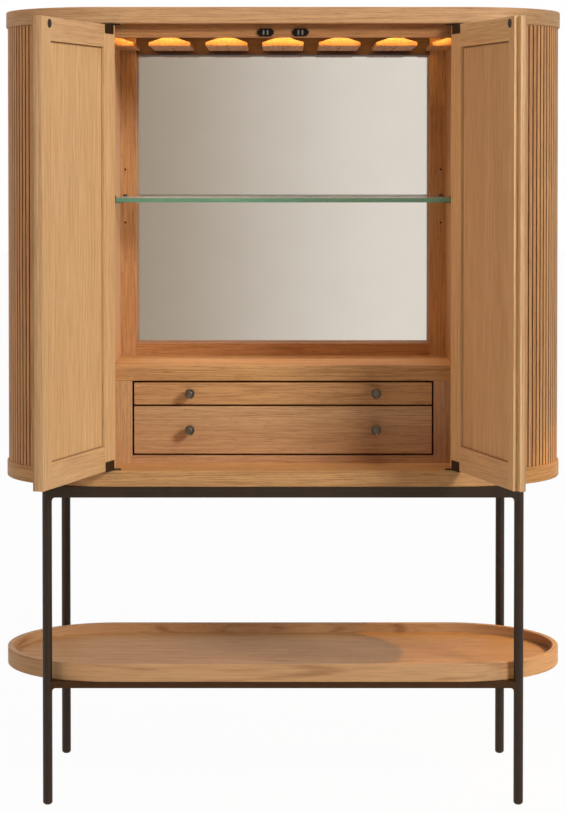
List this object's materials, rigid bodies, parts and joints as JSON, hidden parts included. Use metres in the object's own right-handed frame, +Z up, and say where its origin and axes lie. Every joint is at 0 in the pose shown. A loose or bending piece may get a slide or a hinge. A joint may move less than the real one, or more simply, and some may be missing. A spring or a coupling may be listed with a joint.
{
  "type": "bar armoire",
  "caption": "Pill-shaped bar armoire on a round-legged stand: reeded ends and doors, stemware rack, mirror back, glass shelf, drawers and a lower tray.",
  "frame": {"origin": "on the floor, under the middle of the part's bounding box with both doors open as in the picture", "axes": "+Z up, +X to the right of a person facing the doors, +Y from the doors to the back"},
  "size_m": [1.2198, 0.8081, 1.698],
  "materials": {
    "oak": "clear matte lacquer on light oak",
    "bronze": "dark bronze powder coat",
    "glass": "clear with a green edge",
    "mirror": "silvered",
    "black_plastic": "satin",
    "steel": "zinc plated",
    "aluminium": "anodised",
    "diffuser": "frosted, lit from behind"
  },
  "bodies": {
    "cabinet": {"top_panel": "oak", "base_panel": "oak", "left_side_wall": "oak", "right_side_wall": "oak", "left_reeded_end": "oak", "right_reeded_end": "oak", "back_panel": "oak", "header_rail": "oak", "stem_rails": "oak", "stem_rail_webs": "oak", "mirror_stiles": "oak", "mirror_rails": "oak", "counter_top": "oak", "face_left_stile": "oak", "face_right_stile": "oak", "face_bottom_rail": "oak", "runner_cleats": "oak", "tray_floor": "oak", "tray_rim": "oak", "front_left_leg": "bronze", "front_right_leg": "bronze", "back_left_leg": "bronze", "back_right_leg": "bronze", "front_rail": "bronze", "back_rail": "bronze", "side_rails": "bronze", "front_stretcher": "bronze", "back_stretcher": "bronze", "side_stretchers": "bronze", "catch_bodies": "black_plastic", "catch_poles": "steel", "led_channel": "aluminium", "led_diffuser": "diffuser", "mirror_glass": "mirror", "shelf_clips": "steel", "cabinet_runners": "steel", "carcass_hinge_leaves": "bronze"},
    "left_door": {"left_door_stiles": "oak", "left_door_rails": "oak", "left_door_panel": "oak", "left_door_reeds": "oak", "left_door_hinge_leaves": "bronze", "left_door_strike": "bronze"},
    "right_door": {"right_door_stiles": "oak", "right_door_rails": "oak", "right_door_panel": "oak", "right_door_reeds": "oak", "right_door_hinge_leaves": "bronze", "right_door_strike": "bronze"},
    "upper_drawer": {"upper_drawer_front": "oak", "upper_drawer_box": "oak", "upper_drawer_knobs": "bronze", "upper_drawer_runners": "steel"},
    "lower_drawer": {"lower_drawer_front": "oak", "lower_drawer_box": "oak", "lower_drawer_knobs": "bronze", "lower_drawer_runners": "steel"},
    "shelf": {"glass_shelf": "glass"}
  },
  "joints": [
    {"name": "left_door_hinge", "type": "hinge", "parent": "cabinet", "child": "left_door", "pos_m": [-0.373, -0.0426, 1.189], "axis": [0, 0, -1], "range_deg": [-108.2, 0]},
    {"name": "right_door_hinge", "type": "hinge", "parent": "cabinet", "child": "right_door", "pos_m": [0.373, -0.0426, 1.189], "axis": [0, 0, 1], "range_deg": [-105.8, 0]},
    {"name": "upper_drawer_slide", "type": "slide", "parent": "cabinet", "child": "upper_drawer", "axis": [0, -1, 0], "range_m": [0, 0.23]},
    {"name": "lower_drawer_slide", "type": "slide", "parent": "cabinet", "child": "lower_drawer", "axis": [0, -1, 0], "range_m": [0, 0.23]},
    {"name": "shelf_lift", "type": "slide", "parent": "cabinet", "child": "shelf", "axis": [0, 0, 1], "range_m": [0, 0.0605]}
  ]
}
